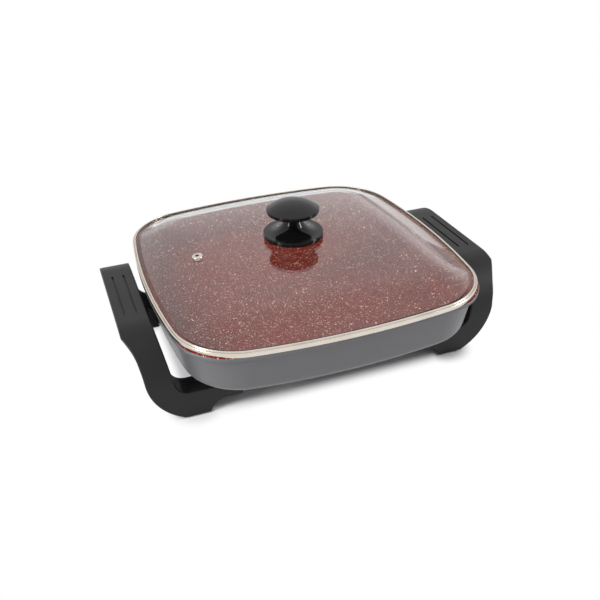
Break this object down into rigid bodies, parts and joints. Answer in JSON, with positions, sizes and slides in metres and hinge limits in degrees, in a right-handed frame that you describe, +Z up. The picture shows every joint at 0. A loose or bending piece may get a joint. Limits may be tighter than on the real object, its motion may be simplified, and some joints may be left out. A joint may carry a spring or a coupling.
{
  "type": "electric skillet",
  "caption": "Square electric skillet: shallow coated pan on moulded handles that bend down into legs, with a lift-off domed glass lid and a heating element underneath.",
  "frame": {"origin": "centre of the footprint, on the table", "axes": "+X towards the handle over the inlet, -Y towards the cook, +Z up"},
  "size_m": [0.369, 0.3044, 0.1512],
  "materials": {
    "pan": "cast, satin grey paint outside, speckled deep red non-stick coating inside",
    "glass": "clear, tempered",
    "rim_steel": "polished rolled sheet",
    "handle_plastic": "satin black phenolic",
    "knob_gloss": "gloss black phenolic",
    "knob_satin": "satin black phenolic",
    "soft_rubber": "matte silicone rubber",
    "screw_steel": "zinc-plated",
    "element_tube": "heat-darkened sheath",
    "clamp_steel": "pressed sheet",
    "terminal_metal": "nickel-plated",
    "ceramic": "unglazed white ceramic",
    "inlet_plastic": "satin black phenolic"
  },
  "bodies": {
    "pan": {"pan_body": "pan", "probe_boss": "pan", "left_handle": "handle_plastic", "right_handle": "handle_plastic", "front_left_foot_pad": "soft_rubber", "front_right_foot_pad": "soft_rubber", "rear_left_foot_pad": "soft_rubber", "rear_right_foot_pad": "soft_rubber", "clamp_screws": "screw_steel", "inlet_screws": "screw_steel", "leg_screws": "screw_steel", "lug_screws": "screw_steel", "heating_element": "element_tube", "front_element_clamp": "clamp_steel", "rear_element_clamp": "clamp_steel", "left_element_clamp": "clamp_steel", "front_terminal_pin": "terminal_metal", "rear_terminal_pin": "terminal_metal", "front_terminal_bush": "ceramic", "rear_terminal_bush": "ceramic", "inlet_shroud": "inlet_plastic"},
    "lid": {"lid_glass": "glass", "lid_rim": "rim_steel", "vent_eyelet": "rim_steel", "knob_base": "knob_gloss", "knob_cap": "knob_satin", "knob_screw": "screw_steel", "knob_washer": "screw_steel", "knob_gasket": "soft_rubber"}
  },
  "joints": [
    {"name": "lid_lift", "type": "slide", "parent": "pan", "child": "lid", "axis": [0, 0, 1], "range_m": [0, 0.15]}
  ]
}
